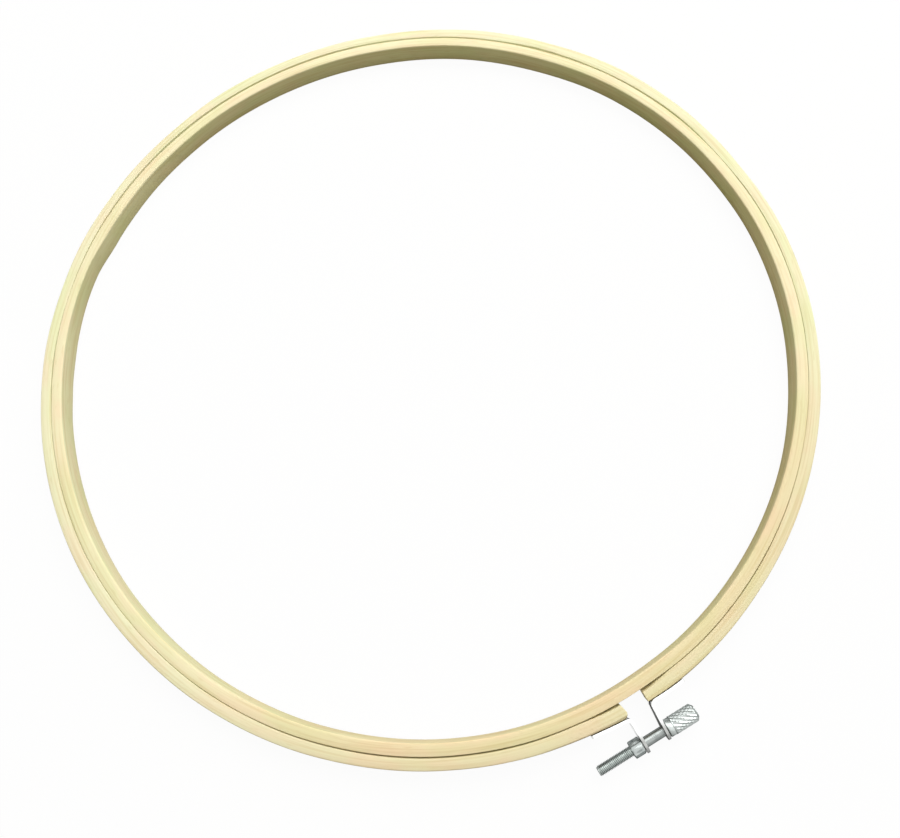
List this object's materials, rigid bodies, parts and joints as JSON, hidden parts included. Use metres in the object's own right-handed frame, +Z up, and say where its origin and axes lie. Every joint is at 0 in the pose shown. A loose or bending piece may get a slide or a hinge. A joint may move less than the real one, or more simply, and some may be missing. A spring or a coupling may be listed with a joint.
{
  "type": "embroidery hoop",
  "caption": "Round bamboo embroidery hoop: a closed inner ring inside a split outer ring, which a knurled thumb screw, a hex nut and bent metal brackets clamp tight on fabric.",
  "frame": {"origin": "centre of the bounding box's bottom face, on the plane that the hoop lies on; the rings' shared centre is 7.28 mm behind it, at +Y", "axes": "+Z up, square to the rings; -Y towards the clamp; +X along the thumb screw, towards its knurled head"},
  "size_m": [0.309, 0.3236, 0.008],
  "materials": {
    "inner_bamboo": "sanded pale bamboo, fine lengthwise grain",
    "outer_bamboo": "sanded pale bamboo, fine lengthwise grain",
    "bracket_steel": "zinc-plated sheet steel",
    "brad_steel": "zinc-plated, domed head",
    "screw_steel": "bright nickel-plated, diagonal knurl on the head",
    "nut_steel": "bright nickel-plated"
  },
  "bodies": {
    "outer_hoop": {"outer_ring": "outer_bamboo", "left_bracket": "bracket_steel", "left_brad_1": "brad_steel", "left_brad_2": "brad_steel"},
    "right_clamp": {"right_bracket": "bracket_steel", "right_brad_1": "brad_steel", "right_brad_2": "brad_steel"},
    "screw": {"thumb_screw": "screw_steel"},
    "nut": {"clamp_nut": "nut_steel"},
    "inner_hoop": {"inner_ring": "inner_bamboo"}
  },
  "joints": [
    {"name": "ring_spread", "type": "hinge", "parent": "outer_hoop", "child": "right_clamp", "pos_m": [0, 0.15963, 0.004], "axis": [0, 0, 1], "range_deg": [0, 2.16], "deforming": ["outer_ring"]},
    {"name": "screw_turn", "type": "hinge", "parent": "right_clamp", "child": "screw", "pos_m": [0, -0.15832, 0.004], "axis": [1, 0, 0], "range_deg": [0, 7200]},
    {"name": "nut_travel", "type": "slide", "parent": "right_clamp", "child": "nut", "axis": [-1, 0, 0], "range_m": [0, 0.012]},
    {"name": "inner_ring_lift", "type": "slide", "parent": "outer_hoop", "child": "inner_hoop", "axis": [0, 0, 1], "range_m": [0, 0.02]}
  ],
  "couplings": [
    {"joint": "screw_turn", "follows": "ring_spread", "ratio": 3329.6},
    {"joint": "nut_travel", "follows": "ring_spread", "m_per_rad": 0.31795}
  ]
}
